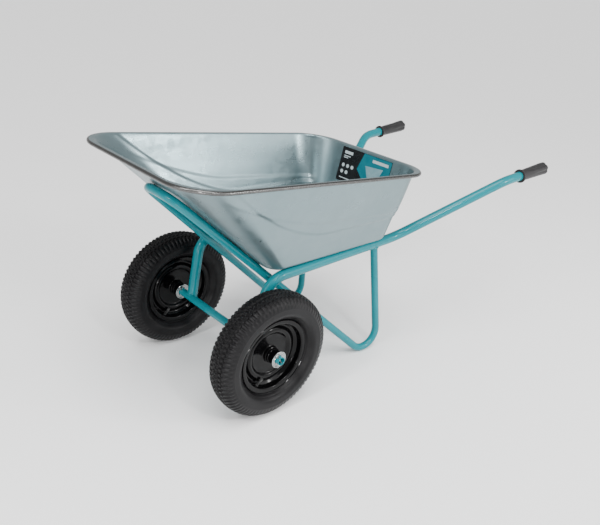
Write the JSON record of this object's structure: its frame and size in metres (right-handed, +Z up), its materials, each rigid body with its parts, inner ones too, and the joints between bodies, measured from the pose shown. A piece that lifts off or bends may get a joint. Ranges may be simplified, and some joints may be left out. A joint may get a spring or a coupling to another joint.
{
  "type": "two-wheeled wheelbarrow",
  "caption": "Garden wheelbarrow: pressed tray with a rolled rim on a tubular frame, pneumatic wheels turning on a fixed axle, splayed handles with grips.",
  "frame": {"origin": "on the ground, in the middle plane, under the middle of the barrow's overall length", "axes": "+X towards the nose, +Y to the user's left, +Z up"},
  "size_m": [1.4812, 0.716, 0.733],
  "materials": {
    "frame_paint": "glossy turquoise powder coat",
    "galvanised_sheet": "bright galvanised pressed sheet, satin",
    "steel_wire": "drawn wire, hidden inside the rolled rim",
    "zinc": "zinc plated",
    "label": "plain printed label, black and teal, no lettering",
    "grip_plastic": "black moulded plastic, ribbed",
    "tyre_rubber": "black rubber with a block tread",
    "inner_tube_rubber": "butyl rubber, hidden inside the tyre",
    "rim_paint": "glossy black enamel",
    "hub_paint": "glossy black enamel",
    "bush_plastic": "black nylon",
    "valve_rubber": "black rubber valve stem",
    "cap_plastic": "black plastic valve cap"
  },
  "bodies": {
    "frame": {"handle_tube_left": "frame_paint", "handle_tube_right": "frame_paint", "leg_loop_tube": "frame_paint", "rear_cross_tube": "frame_paint", "axle_tube": "frame_paint", "axle_washer_left_outer": "zinc", "split_pin_left_outer": "zinc", "axle_washer_left_inner": "zinc", "split_pin_left_inner": "zinc", "axle_washer_right_outer": "zinc", "split_pin_right_outer": "zinc", "axle_washer_right_inner": "zinc", "split_pin_right_inner": "zinc", "tray": "galvanised_sheet", "rim_wire": "steel_wire", "tray_label": "label", "grip_left": "grip_plastic", "grip_right": "grip_plastic", "tray_screws": "zinc"},
    "wheel_left": {"wheel_left_tyre": "tyre_rubber", "wheel_left_inner_tube": "inner_tube_rubber", "wheel_left_rim_valve_half": "rim_paint", "wheel_left_rim_plain_half": "rim_paint", "wheel_left_hub": "hub_paint", "wheel_left_bush_left": "bush_plastic", "wheel_left_bush_right": "bush_plastic", "wheel_left_valve_stem": "valve_rubber", "wheel_left_valve_cap": "cap_plastic"},
    "wheel_right": {"wheel_right_tyre": "tyre_rubber", "wheel_right_inner_tube": "inner_tube_rubber", "wheel_right_rim_valve_half": "rim_paint", "wheel_right_rim_plain_half": "rim_paint", "wheel_right_hub": "hub_paint", "wheel_right_bush_left": "bush_plastic", "wheel_right_bush_right": "bush_plastic", "wheel_right_valve_stem": "valve_rubber", "wheel_right_valve_cap": "cap_plastic"}
  },
  "joints": [
    {"name": "wheel_left_spin", "type": "hinge", "parent": "frame", "child": "wheel_left", "pos_m": [0.439, 0.245, 0.19], "axis": [0, 1, 0], "continuous": true},
    {"name": "wheel_right_spin", "type": "hinge", "parent": "frame", "child": "wheel_right", "pos_m": [0.439, -0.245, 0.19], "axis": [0, 1, 0], "continuous": true}
  ]
}
